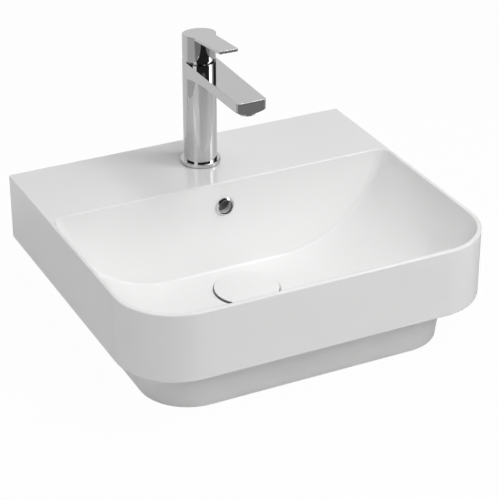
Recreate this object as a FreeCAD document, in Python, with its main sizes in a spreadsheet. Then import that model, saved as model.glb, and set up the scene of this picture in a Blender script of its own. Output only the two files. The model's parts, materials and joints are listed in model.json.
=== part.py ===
"""Countertop basin with a one-hole single-lever tap and a push-open waste.

Millimetres, +Z up, +X to the right, +Y towards the wall.  The origin is the
centre of the foot's underside, the plane that stands on the counter.
"""
import FreeCAD, Part
import math
import os
import re
import Sketcher
from FreeCAD import Placement, Rotation, Vector

# Driving dimensions: name and size in millimetres (angles in degrees)
SIZES = {
    # ceramic basin
    "basin_width": 500.0,
    "basin_depth": 447.0,
    "basin_height": 160.0,
    "fascia_height": 93.0,
    "front_corner": 82.0,
    "foot_inset": 42.0,
    "foot_draft": 8.5,
    "foot_corner": 66.0,
    "ceramic_wall": 10.0,
    "foot_wall": 12.0,
    "rim_side": 5.0,
    "rim_front": 7.2,
    "rim_round": 2.0,
    "edge_round": 2.0,
    "deck_depth": 147.5,
    "bowl_depth": 128.5,
    "back_wall_lean": 4.5,
    "side_curve": 170.0,
    "front_curve": 140.0,
    "bowl_corner": 76.0,
    "crease_round": 3.5,
    "crease_corner": 5.0,
    "back_corner": 15.0,
    "wall_corner": 2.5,
    "hollow_corner": 8.0,
    "floor_thickness": 11.5,
    # drain seat and overflow gallery in the ceramic
    "drain_y": 8.0,
    "dish_gap": 2.5,
    "dish_draft": 1.0,
    "dish_drop": 7.3,
    "dish_round": 3.0,
    "flange_radius": 31.5,
    "recess_clearance": 1.5,
    "recess_depth": 4.0,
    "drain_bore": 23.0,
    "boss_radius": 44.0,
    "seat_thickness": 6.2,
    "gallery_radius": 34.0,
    "gallery_floor": 5.0,
    "gallery_height": 7.0,
    "duct_half_width": 18.0,
    "duct_depth": 15.0,
    "duct_wall": 7.0,
    "overflow_drop": 35.5,
    "overflow_radius": 11.5,
    "tap_hole_radius": 17.5,
    "tap_setback": 73.0,
    "fixing_spacing": 280.0,
    "fixing_radius": 7.0,
    "fixing_drop": 45.0,
    # overflow trim ring
    "overflow_bore": 9.6,
    "overflow_flange": 13.5,
    "overflow_lip": 1.6,
    "overflow_sleeve": 12.0,
    "overflow_clearance": 0.7,
    # waste fitting
    "waste_radius": 20.95,
    "waste_bore": 17.5,
    "flange_thickness": 2.5,
    "flange_chamfer": 5.0,
    "flange_round": 1.0,
    "flange_seal_thickness": 2.0,
    "window_width": 12.0,
    "window_margin": 1.0,
    "base_seal_radius": 33.0,
    "base_seal_thickness": 6.0,
    "waste_nut_corner": 30.0,
    "waste_nut_height": 12.0,
    "tail_length": 30.0,
    "runout_length": 2.0,
    "runout_depth": 1.2,
    # plug
    "guide_height": 6.0,
    "guide_step": 1.5,
    "guide_rim": 2.5,
    "guide_sleeve": 20.0,
    "guide_sleeve_radius": 6.5,
    "stem_radius": 4.0,
    "stem_collar_radius": 5.8,
    "stem_collar_height": 3.0,
    "plug_travel": 5.0,
    "plug_hub_radius": 8.0,
    "plug_hub_height": 5.5,
    "plug_plate_radius": 29.0,
    "plug_plate_thickness": 1.5,
    "plug_seal_thickness": 1.7,
    "cover_radius": 42.0,
    "cover_edge": 4.0,
    "cover_lower_round": 1.0,
    "cover_upper_round": 1.8,
    "cover_crown": 3.0,
    "spring_radius": 5.4,
    "spring_wire": 0.6,
    "spring_turns": 5.0,
    # tap body and spout
    "base_seal_height": 1.0,
    "base_ring_radius": 27.3,
    "base_ring_height": 5.0,
    "base_ring_round": 0.8,
    "shank_radius": 16.5,
    "body_radius": 22.75,
    "body_height": 149.5,
    "spout_width": 45.0,
    "spout_tip_width": 41.5,
    "spout_reach": 158.5,
    "spout_root_height": 24.0,
    "spout_neck_length": 40.0,
    "spout_neck_height": 16.0,
    "spout_middle_length": 90.0,
    "spout_middle_height": 13.6,
    "spout_tip_height": 12.5,
    "spout_sag": 4.3,
    "spout_corner": 4.5,
    "tap_edge": 0.6,
    "spout_duct_radius": 3.5,
    "spout_duct_drop": 16.8,
    "outlet_setback": 15.0,
    "inlet_radius": 4.5,
    "inlet_depth": 14.0,
    "outlet_slot_depth": 3.0,
    "outlet_groove": 2.0,
    # aerator
    "aerator_radius": 11.5,
    "aerator_wall": 1.6,
    "aerator_height": 10.0,
    "aerator_proud": 4.5,
    "aerator_washer_height": 1.5,
    "pocket_roof": 3.0,
    "grid_pitch": 2.4,
    "grid_slot": 1.2,
    "grid_depth": 3.0,
    "grid_reach": 6.5,
    "washer_bore": 5.5,
    # cartridge
    "chamber_depth": 40.0,
    "cartridge_radius": 17.5,
    "cartridge_nut_height": 6.5,
    "nut_radius": 19.9,
    "port_seal_height": 1.0,
    "port_spread": 7.5,
    "port_forward": 3.0,
    "port_back": 9.0,
    "port_radius": 3.0,
    "housing_floor": 3.0,
    "housing_roof": 2.0,
    "housing_wall": 2.0,
    "housing_waist": 1.0,
    "housing_collar": 6.0,
    "neck_radius": 12.1,
    "neck_wall": 1.0,
    "neck_height": 2.5,
    "fixed_disc_height": 4.0,
    "moving_disc_height": 5.0,
    "moving_disc_radius": 11.0,
    "disc_shift": 2.7,
    "disc_hub_radius": 6.5,
    "mix_width": 17.0,
    "mix_front": 0.4,
    "mix_length": 6.6,
    "mix_depth": 2.5,
    "pivot_drop": 4.5,
    "ball_drop": 14.0,
    "ball_radius": 3.5,
    "carrier_sink": 1.0,
    "cheek_width": 3.0,
    "cheek_length": 12.0,
    "slot_front": 10.5,
    "slot_back": 8.2,
    "spindle_width": 8.0,
    "spindle_waist_radius": 2.8,
    "pin_radius": 1.5,
    "trim_radius": 19.6,
    "trim_edge": 1.0,
    "trim_height": 4.0,
    "trim_round": 12.0,
    # lever
    "lever_radius": 22.5,
    "lever_wall": 2.5,
    "lever_gap": 2.0,
    "lever_relief": 25.0,
    "lever_slope": 5.5,
    "lever_back_height": 183.9,
    "lever_reach": 92.2,
    "lever_plate": 4.0,
    "lever_root_width": 31.0,
    "lever_tip_width": 26.7,
    "lever_tip_corner": 2.5,
    "lever_roof": 12.0,
    "lever_boss_radius": 9.0,
    "lever_boss_lift": 8.0,
    "lever_screw_drop": 5.0,
    "lever_screw_radius": 2.45,
    "lever_plug_radius": 2.9,
    "lever_plug_length": 2.5,
    "lever_plug_sink": 0.6,
    # clamp under the deck
    "stud_radius": 3.95,
    "stud_offset": 10.0,
    "stud_grip": 20.0,
    "stud_length": 80.0,
    "clamp_radius": 24.0,
    "clamp_mouth": 28.0,
    "clamp_bridge": 3.0,
    "clamp_pad_height": 3.0,
    "clamp_plate_height": 2.5,
    "clamp_nut_height": 14.0,
    "clamp_nut_corner": 7.5,
    # fits
    "fit_gap": 0.05,
    "seat_gap": 0.3,
}

doc = FreeCAD.newDocument("CountertopBasin")
sheet = doc.addObject("Spreadsheet::Sheet", "Sizes")
for row, (alias, number) in enumerate(SIZES.items(), start=1):
    sheet.set(f"A{row}", alias)
    sheet.set(f"B{row}", str(number))
    sheet.setAlias(f"B{row}", alias)
doc.recompute()

WORD = re.compile(r"[a-z][a-z_]*")
OVERCUT = "1"  # how far a cutter runs past the face that it opens


def tie(text):
    """Expression text with each size's name pointing at its cell."""
    return WORD.sub(lambda m: f"Sizes.{m.group()}" if m.group() in SIZES else m.group(), str(text))


def value(text):
    """The number that an expression in size names gives now."""
    return float(sheet.evalExpression(tie(text)))


def bind(thing, prop, text):
    """Let a property follow an expression in size names."""
    thing.setExpression(prop, tie(text))


def place(thing, x="0", y="0", z="0"):
    """Put an object at a point given by three expressions."""
    for axis, text in zip("xyz", (x, y, z)):
        bind(thing, f"Placement.Base.{axis}", text)


def new_body(name):
    return doc.addObject("PartDesign::Body", name)


def new_sketch(body, name, plane, lift="0"):
    """A sketch on one of the body's origin planes, raised along the plane's normal."""
    sketch = body.newObject("Sketcher::SketchObject", name)
    origin = [f for f in body.Origin.OriginFeatures if f.Role == plane][0]
    sketch.AttachmentSupport = [(origin, "")]
    sketch.MapMode = "FlatFace"
    bind(sketch, "AttachmentOffset.Base.z", lift)
    return sketch


def measure(sketch, kind, first, text):
    """Add one driving dimension and tie it to its expression."""
    index = sketch.addConstraint(Sketcher.Constraint(kind, *first, value(text)))
    sketch.setExpression(f"Constraints[{index}]", tie(text))


def bulging_arc(start, end, radius):
    """The arc from start to end that bulges out of an outline drawn anticlockwise."""
    chord = end - start
    outward = Vector(chord.y, -chord.x, 0) / chord.Length
    centre = (start + end) / 2 - outward * math.sqrt(radius**2 - chord.Length**2 / 4)
    angles = [math.atan2(p.y - centre.y, p.x - centre.x) for p in (start, end)]
    return Part.ArcOfCircle(Part.Circle(centre, Vector(0, 0, 1), radius), *angles)


def polygon(sketch, points, arcs=None):
    """A closed outline through points given as expression pairs, anticlockwise where it has arcs.

    Edges are straight, except that an edge whose number is in arcs bulges with the radius given there.
    """
    arcs = arcs or {}
    corners = [Vector(value(a), value(b), 0) for a, b in points]
    count = len(corners)
    for i in range(count):
        ends = (corners[i], corners[(i + 1) % count])
        edge = bulging_arc(*ends, value(arcs[i])) if i in arcs else Part.LineSegment(*ends)
        sketch.addGeometry(edge)
    for i in range(count):
        sketch.addConstraint(Sketcher.Constraint("Coincident", i, 2, (i + 1) % count, 1))
    for i, (a, b) in enumerate(points):
        measure(sketch, "DistanceX", (-1, 1, i, 1), a)
        measure(sketch, "DistanceY", (-1, 1, i, 1), b)
    for i, radius in arcs.items():
        measure(sketch, "Radius", (i,), radius)


def rounded_plan(sketch, half_width, front, back, front_radius, back_radius):
    """A plan outline, the same on both sides of the Y axis, with four round corners."""
    w, f, b, r, q = (value(t) for t in (half_width, front, back, front_radius, back_radius))
    up = Vector(0, 0, 1)
    turns = (
        (w - q, b - q, q, 0.0), (w - r, f + r, r, -math.pi / 2),
        (r - w, f + r, r, math.pi), (q - w, b - q, q, math.pi / 2),
    )
    sides = (
        ((q - w, b), (w - q, b)), ((w, b - q), (w, f + r)),
        ((w - r, f), (r - w, f)), ((-w, f + r), (-w, b - q)),
    )
    for (cx, cy, radius, start), (first, last) in zip(turns, sides):
        sketch.addGeometry(Part.LineSegment(Vector(*first, 0), Vector(*last, 0)))
        circle = Part.Circle(Vector(cx, cy, 0), up, radius)
        sketch.addGeometry(Part.ArcOfCircle(circle, start, start + math.pi / 2))
    for line in (0, 2, 4, 6):
        sketch.addConstraint(Sketcher.Constraint("Tangent", line, 2, line + 1, 2))
        sketch.addConstraint(Sketcher.Constraint("Tangent", line + 1, 1, (line + 2) % 8, 1))
    for rule in (
        ("Vertical", 2), ("Vertical", 6), ("Horizontal", 4), ("Symmetric", 0, 1, 0, 2, -2),
        ("Equal", 1, 7), ("Equal", 3, 5),
    ):
        sketch.addConstraint(Sketcher.Constraint(*rule))
    measure(sketch, "DistanceX", (-1, 1, 2, 1), half_width)
    measure(sketch, "DistanceY", (-1, 1, 0, 1), back)
    measure(sketch, "DistanceY", (-1, 1, 4, 1), front)
    measure(sketch, "Radius", (3,), front_radius)
    measure(sketch, "Radius", (1,), back_radius)


def pad(body, sketch, length, name, midplane=False):
    feature = body.newObject("PartDesign::Pad", name)
    feature.Profile = sketch
    feature.Midplane = midplane
    bind(feature, "Length", length)
    return feature


def loft(body, sketches, name, ruled=False):
    feature = body.newObject("PartDesign::AdditiveLoft", name)
    feature.Profile = sketches[0]
    feature.Sections = sketches[1:]
    feature.Ruled = ruled
    return feature


def turned(name, points, x="0", y="0", z="0", arcs=None):
    """A round piece: a half profile of (radius, height) turned about its own axis."""
    body = new_body(name)
    sketch = new_sketch(body, f"{name}_profile", "XZ_Plane")
    polygon(sketch, points, arcs)
    turn = body.newObject("PartDesign::Revolution", f"{name}_turn")
    turn.Profile = sketch
    turn.ReferenceAxis = (sketch, ["V_Axis"])
    turn.Angle = 360
    place(body, x, y, z)
    return body


def box(name, x, y, z):
    """A block between pairs of expressions (low, high) along each axis."""
    block = doc.addObject("Part::Box", name)
    for prop, (low, high) in zip(("Length", "Width", "Height"), (x, y, z)):
        bind(block, prop, f"({high}) - ({low})")
    place(block, x[0], y[0], z[0])
    return block


AXES = {"x": Rotation(Vector(0, 1, 0), 90), "y": Rotation(Vector(1, 0, 0), -90), "z": Rotation()}


def rod(name, radius, length, x="0", y="0", z="0", along="z"):
    """A cylinder that starts at a point and runs along a positive axis."""
    cylinder = doc.addObject("Part::Cylinder", name)
    bind(cylinder, "Radius", radius)
    bind(cylinder, "Height", length)
    cylinder.Placement = Placement(Vector(), AXES[along])
    place(cylinder, x, y, z)
    return cylinder


def fuse(name, pieces):
    joined = doc.addObject("Part::MultiFuse", name)
    joined.Shapes = pieces
    return joined


def cut(name, base, tools):
    """The base less one or several tools."""
    result = doc.addObject("Part::Cut", name)
    result.Base = base
    result.Tool = tools[0] if len(tools) == 1 else fuse(f"{name}_tools", tools)
    return result


def rounded(name, base, radius, chosen):
    """Round the edges of a shape that a test picks."""
    doc.recompute()
    fillet = doc.addObject("Part::Fillet", name)
    fillet.Base = base
    size = value(radius)
    fillet.Edges = [(i, size, size) for i, edge in enumerate(base.Shape.Edges, start=1) if chosen(edge)]
    return fillet


def near(a, b, slack=0.05):
    return abs(a - b) < slack


def upright_at(y):
    """A test for the upright edges that stand at one place along Y."""
    def chosen(edge):
        span = edge.BoundBox
        return near(span.YMin, y) and near(span.YMax, y) and near(span.XLength, 0)
    return chosen


def level_ahead_of(y):
    """A test for the edges that lie ahead of a line along X, apart from the upright ones."""
    def chosen(edge):
        span = edge.BoundBox
        ahead = span.YMin < y and not near(span.YMin, y)
        return ahead and span.XLength + span.YLength > span.ZLength
    return chosen


def hexagon(name, corner, height, y, z):
    """A six-sided block on the XY plane's normal, as wide across its corners as twice corner."""
    prism = doc.addObject("Part::Prism", name)
    prism.Polygon = 6
    bind(prism, "Circumradius", corner)
    bind(prism, "Height", height)
    place(prism, y=y, z=z)
    return prism


def common(name, base, tool):
    shared = doc.addObject("Part::Common", name)
    shared.Base = base
    shared.Tool = tool
    return shared


# Derived heights and lines of the ceramic
BACK = "basin_depth / 2"
FRONT = "-basin_depth / 2"
HALF = "basin_width / 2"
FOOT_TOP = "(basin_height - fascia_height)"
FLOOR = "(basin_height - bowl_depth)"
BOWL_BACK = "(basin_depth / 2 - deck_depth)"
TAP_Y = "(basin_depth / 2 - tap_setback)"
SEAT = f"({FLOOR} - dish_drop - recess_depth)"
GALLERY_LOW = f"({SEAT} - seat_thickness - gallery_height)"
BOSS_LOW = f"({GALLERY_LOW} - gallery_floor)"
DISH_RADIUS = "(cover_radius + dish_gap)"
CREASE_LEVELS = (0.0, 0.02, 0.1, 0.3, 0.6, 1.0)
WALL_LEVELS = (0.06, 0.15, 0.28, 0.45, 0.65, 0.83, 1.0)


def sweep_in(curve, height):
    """How far a wall of one curve radius stands outside the flat floor at a height above it."""
    return f"sqrt(2 * {curve} * ({height}) - ({height})^2)"


def bowl_outline(sketch, height, grow, crease):
    """The bowl's plan outline at a height above its floor, grown by a wall."""
    side = f"{HALF} - rim_side - {sweep_in('side_curve', 'bowl_depth')} + {sweep_in('side_curve', height)}"
    reach = f"{sweep_in('front_curve', 'bowl_depth')} - {sweep_in('front_curve', height)}"
    ahead = f"{FRONT} + rim_front + {reach}"
    behind = f"{BOWL_BACK} - back_wall_lean * (1 - ({height}) / bowl_depth) - ({crease})"
    corner = f"crease_corner + (back_corner - crease_corner) * ({height}) / bowl_depth"
    rounded_plan(sketch, f"{side} + {grow}", f"{ahead} - ({grow})", f"{behind} + {grow}",
                 f"bowl_corner + {grow}", f"{corner} + {grow}")


def bowl_solid(name, grow, sink):
    """The bowl's hollow as a solid: a rounded crease above the floor, then the walls up to the rim."""
    body = new_body(name)
    heights = [f"crease_round * {share}" for share in CREASE_LEVELS]
    turn = len(heights) - 1
    heights += [f"crease_round + (bowl_depth - crease_round) * {share}" for share in WALL_LEVELS]
    sections = []
    for i, height in enumerate(heights):
        sketch = new_sketch(body, f"{name}_level_{i}", "XY_Plane", f"{FLOOR} + {height} - ({sink})")
        crease = f"crease_round - {sweep_in('crease_round', height)}" if i < turn else "0"
        bowl_outline(sketch, height, grow, crease)
        sections.append(sketch)
    loft(body, sections[:turn + 1], f"{name}_crease")
    loft(body, sections[turn:], f"{name}_walls")
    if sink != "0":
        pad(body, sections[-1], sink, f"{name}_top")
    return body


def make_basin():
    """The glazed ceramic: fascia, foot, deck, bowl, overflow gallery and holes."""
    outer = new_body("basin_outer")
    fascia = new_sketch(outer, "fascia_outline", "XY_Plane", FOOT_TOP)
    rounded_plan(fascia, HALF, FRONT, BACK, "front_corner", "wall_corner")
    block = pad(outer, fascia, "fascia_height", "fascia")
    doc.recompute()
    underside = value(FOOT_TOP)
    behind = value(BACK)
    soften = outer.newObject("PartDesign::Fillet", "fascia_lower_edge")
    lower_edges = [f"Edge{i}" for i, edge in enumerate(block.Shape.Edges, start=1)
                   if near(edge.BoundBox.ZMax, underside) and not near(edge.BoundBox.YMin, behind)]
    soften.Base = (block, lower_edges)
    bind(soften, "Radius", "edge_round")
    foot = []
    for name, lift, spread in (("foot_bottom", "0", "0"), ("foot_top", FOOT_TOP, "foot_draft")):
        sketch = new_sketch(outer, name, "XY_Plane", lift)
        rounded_plan(sketch, f"{HALF} - foot_inset + {spread}", f"{FRONT} + foot_inset - {spread}",
                     BACK, f"foot_corner + {spread}", "wall_corner")
        foot.append(sketch)
    loft(outer, foot, "foot", ruled=True)

    hollow = new_body("basin_hollow")
    upper = new_sketch(hollow, "upper_hollow_outline", "XY_Plane", f"{FOOT_TOP} + ceramic_wall")
    rounded_plan(upper, f"{HALF} - ceramic_wall", f"{FRONT} + ceramic_wall", f"{BACK} - ceramic_wall",
                 "front_corner - ceramic_wall", "hollow_corner")
    pad(hollow, upper, "fascia_height - 2 * ceramic_wall", "upper_hollow")
    lower = []
    for name, lift, spread in (("lower_hollow_bottom", "0", "0"),
                               ("lower_hollow_top", f"{FOOT_TOP} + ceramic_wall", "foot_draft")):
        sketch = new_sketch(hollow, name, "XY_Plane", lift)
        rounded_plan(sketch, f"{HALF} - foot_inset - foot_wall + {spread}",
                     f"{FRONT} + foot_inset + foot_wall - {spread}", f"{BACK} - ceramic_wall",
                     f"foot_corner - foot_wall + {spread}", "hollow_corner")
        lower.append(sketch)
    loft(hollow, lower, "lower_hollow", ruled=True)

    shell = bowl_solid("bowl_shell", "ceramic_wall", "floor_thickness")
    bowl = bowl_solid("bowl_hollow", "0", "0")
    doc.recompute()

    # Solid ceramic that stays inside the hollow: bowl walls, drain boss and overflow duct
    duct_back = f"({BOWL_BACK} + ceramic_wall + duct_depth)"
    duct_block = box("duct_block", ("-duct_half_width - duct_wall", "duct_half_width + duct_wall"),
                     ("drain_y", f"{duct_back} + duct_wall"), (BOSS_LOW, "basin_height - ceramic_wall"))
    boss = rod("drain_boss", "boss_radius", f"{FLOOR} - {BOSS_LOW}", y="drain_y", z=BOSS_LOW)
    kept = fuse("bowl_ceramic", [shell, duct_block, boss])
    core = cut("underside_hollow", hollow, [kept])
    cast = fuse("cast_ceramic", [cut("cast_shell", outer, [core]), boss])

    # Overflow passage, drain seat, tap hole and wall fixing holes
    duct = box("overflow_duct", ("-duct_half_width", "duct_half_width"),
               (f"{BOWL_BACK} + ceramic_wall", duct_back),
               (GALLERY_LOW, "basin_height - overflow_drop + overflow_radius + duct_wall"))
    leg = box("overflow_leg", ("-duct_half_width", "duct_half_width"), ("drain_y", duct_back),
              (GALLERY_LOW, f"{GALLERY_LOW} + gallery_height"))
    ring = rod("overflow_gallery", "gallery_radius", "gallery_height", y="drain_y", z=GALLERY_LOW)
    inlet = rod("overflow_inlet", "overflow_radius", "2 * ceramic_wall + duct_depth / 2",
                y=f"{BOWL_BACK} - ceramic_wall", z="basin_height - overflow_drop", along="y")
    seat = turned("drain_seat", (
        ("0", f"{FLOOR} + dish_drop"), (DISH_RADIUS, f"{FLOOR} + dish_drop"), (DISH_RADIUS, FLOOR),
        (f"{DISH_RADIUS} - dish_draft", f"{FLOOR} - dish_drop"),
        ("flange_radius + recess_clearance", f"{FLOOR} - dish_drop"),
        ("flange_radius + recess_clearance", SEAT), ("drain_bore", SEAT),
        ("drain_bore", f"{BOSS_LOW} - {OVERCUT}"), ("0", f"{BOSS_LOW} - {OVERCUT}")), y="drain_y")
    tap_hole = rod("tap_hole", "tap_hole_radius", "3 * ceramic_wall",
                   y=TAP_Y, z="basin_height - 2 * ceramic_wall")
    fixings = []
    for i, side in enumerate((-1, 1)):
        fixings.append(rod(f"wall_fixing_{i}", "fixing_radius", "3 * ceramic_wall",
                           x=f"{side} * fixing_spacing / 2", y=f"{BACK} - 2 * ceramic_wall",
                           z="basin_height - fixing_drop", along="y"))
    holed = cut("basin_holed", cast, [bowl, duct, leg, ring, inlet, seat, tap_hole, *fixings])
    doc.recompute()
    top = value("basin_height")

    def inset(edge):
        """How far the middle of an edge lies inside the fascia's outline, seen from above."""
        middle = edge.valueAt((edge.FirstParameter + edge.LastParameter) / 2)
        side = value(HALF) - abs(middle.x)
        ahead = middle.y - value(FRONT)
        corner = value("front_corner")
        if side < corner and ahead < corner:
            return corner - math.hypot(corner - side, corner - ahead)
        return min(side, ahead, value(BACK) - middle.y)

    def at_rim(edge):
        return near(edge.BoundBox.ZMin, top) and near(edge.BoundBox.ZMax, top)

    def in_bowl(edge):
        ahead_of_deck = edge.BoundBox.YMax < value(f"{BOWL_BACK} + ceramic_wall")
        return ahead_of_deck and inset(edge) > value("rim_side / 2")

    def at_dish(edge):
        span = edge.BoundBox
        at_floor = near(span.ZMin, value(FLOOR)) and near(span.ZMax, value(FLOOR))
        return at_floor and near(span.XLength, 2 * value(DISH_RADIUS))

    rim = rounded("basin_rim", holed, "rim_round", lambda e: at_rim(e) and in_bowl(e))
    soft = rounded("basin_dish", rim, "dish_round", at_dish)
    return rounded("basin", soft, "edge_round", lambda e: at_rim(e) and inset(e) < value("rim_side / 4"))


def make_overflow_ring():
    """Trim ring of the overflow: a rounded flange on the back wall and a sleeve in the hole."""
    sleeve = "overflow_radius - overflow_clearance"
    lip_round = "((overflow_flange - overflow_bore)^2 / 4 + overflow_lip^2) / (2 * overflow_lip)"
    ring = turned("overflow_ring", (
        ("overflow_bore", "-overflow_sleeve"), (sleeve, "-overflow_sleeve"), (sleeve, "0"),
        ("overflow_flange", "0"), ("overflow_bore", "0")),
        y=f"{BOWL_BACK} - back_wall_lean * overflow_drop / bowl_depth - seat_gap",
        z="basin_height - overflow_drop", arcs={3: lip_round})
    ring.Placement = Placement(ring.Placement.Base, Rotation(Vector(1, 0, 0), 90))
    bind(ring, "Placement.Rotation.Angle", "90 deg - atan(back_wall_lean / bowl_depth)")
    return ring


# Heights of the waste, from the drain seat
FLANGE_LOW = f"({SEAT} + flange_seal_thickness)"
FLANGE_TOP = f"({FLANGE_LOW} + flange_thickness)"
SEAL_LOW = f"({BOSS_LOW} - base_seal_thickness)"
NUT_LOW = f"({SEAL_LOW} - waste_nut_height)"
TAIL_LOW = f"({NUT_LOW} - tail_length)"
GUIDE_LOW = f"({SEAL_LOW} - guide_height)"
COVER_LOW = f"({FLANGE_TOP} + plug_travel)"


def make_waste():
    """Waste fitting: flanged threaded body with overflow windows, two seals and a back nut."""
    at = {"y": "drain_y"}
    turned("waste_flange_seal", (
        ("waste_radius + fit_gap", SEAT), ("flange_radius - recess_clearance", SEAT),
        ("flange_radius - recess_clearance", FLANGE_LOW), ("waste_radius + fit_gap", FLANGE_LOW)), **at)
    runout = "waste_radius - runout_depth"
    runout_low = f"{NUT_LOW} - runout_length"
    tube = turned("waste_tube", (
        ("waste_bore - guide_step", TAIL_LOW), ("waste_radius", TAIL_LOW), ("waste_radius", runout_low),
        (runout, runout_low), (runout, NUT_LOW), ("waste_radius", NUT_LOW), ("waste_radius", FLANGE_LOW),
        ("flange_radius", FLANGE_LOW), ("flange_radius", f"{FLANGE_TOP} - flange_round"),
        ("flange_radius - flange_round", FLANGE_TOP), ("waste_bore + flange_chamfer", FLANGE_TOP),
        ("waste_bore", f"{FLANGE_TOP} - flange_chamfer"), ("waste_bore", GUIDE_LOW),
        ("waste_bore - guide_step", GUIDE_LOW)), arcs={8: "flange_round"}, **at)
    span = (f"{GALLERY_LOW} + window_margin", f"{GALLERY_LOW} + gallery_height - window_margin")
    across = box("overflow_windows_across", ("-2 * waste_radius", "2 * waste_radius"),
                 ("drain_y - window_width / 2", "drain_y + window_width / 2"), span)
    along = box("overflow_windows_along", ("-window_width / 2", "window_width / 2"),
                ("drain_y - 2 * waste_radius", "drain_y + 2 * waste_radius"), span)
    cut("waste_body", tube, [across, along])
    turned("waste_base_seal", (
        ("waste_radius + fit_gap", SEAL_LOW), ("base_seal_radius", SEAL_LOW),
        ("base_seal_radius", f"{BOSS_LOW} - base_seal_thickness / 2"),
        ("drain_bore + base_seal_thickness / 2", BOSS_LOW),
        ("waste_radius + fit_gap", BOSS_LOW)), **at)
    spanner = hexagon("waste_nut_hexagon", "waste_nut_corner", "waste_nut_height", "drain_y", NUT_LOW)
    washer = rod("waste_nut_washer", "base_seal_radius", "waste_nut_height / 4", y="drain_y",
                 z=f"{SEAL_LOW} - waste_nut_height / 4")
    thread = rod("waste_nut_thread", "waste_radius + fit_gap", "2 * waste_nut_height", y="drain_y",
                 z=f"{NUT_LOW} - waste_nut_height / 2")
    cut("waste_nut", fuse("waste_nut_blank", [spanner, washer]), [thread])


SPRING_POINTS = 12  # points measured on each quarter turn


def helix_tube(radius, wire, low, high, turns):
    """A coil of round wire about the Z axis, on two tangent arcs for each quarter turn.

    Its least gap to itself is measured between points of the centre line at least half a turn apart.
    """
    step = math.pi / 2
    rise = (high - low) / (turns * 2 * math.pi)
    length = math.hypot(radius, rise)
    count = int(round(turns * 4))

    def station(i):
        angle = i * step
        point = Vector(radius * math.cos(angle), radius * math.sin(angle), low + rise * angle)
        heading = Vector(-radius * math.sin(angle), radius * math.cos(angle), rise) / length
        return point, heading

    def arc(start, heading, end):
        chord = end - start
        across = heading - chord * (heading.dot(chord) / chord.dot(chord))
        lean = math.acos(max(-1.0, min(1.0, heading.dot(chord) / chord.Length)))
        bulge = across / across.Length * (chord.Length / 2 * math.tan(lean / 2))
        return Part.Arc(start, (start + end) / 2 + bulge, end).toShape()

    edges = []
    for i in range(count):
        (p, u), (q, w) = station(i), station(i + 1)
        gap, sum_of = q - p, u + w
        a = 2 * (1 - u.dot(w))
        b = 2 * gap.dot(sum_of)
        reach = (-b + math.sqrt(b * b + 4 * a * gap.dot(gap))) / (2 * a)
        joint = (p + q + (u - w) * reach) / 2
        edges += [arc(p, u, joint), arc(q, w * -1, joint)]
    path = Part.Wire(Part.__sortEdges__(edges))
    points = path.discretize(Number=count * SPRING_POINTS)
    apart = 2 * SPRING_POINTS
    least = min((p - q).Length for i, p in enumerate(points) for q in points[i + apart:])
    print("spring: least gap to itself", round(least - 2 * wire, 2))
    start, heading = station(0)
    ring = Part.Wire([Part.makeCircle(wire, start, heading)])
    return path.makePipeShell([ring], True, False)


GUIDE_ARMS = 3


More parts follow.
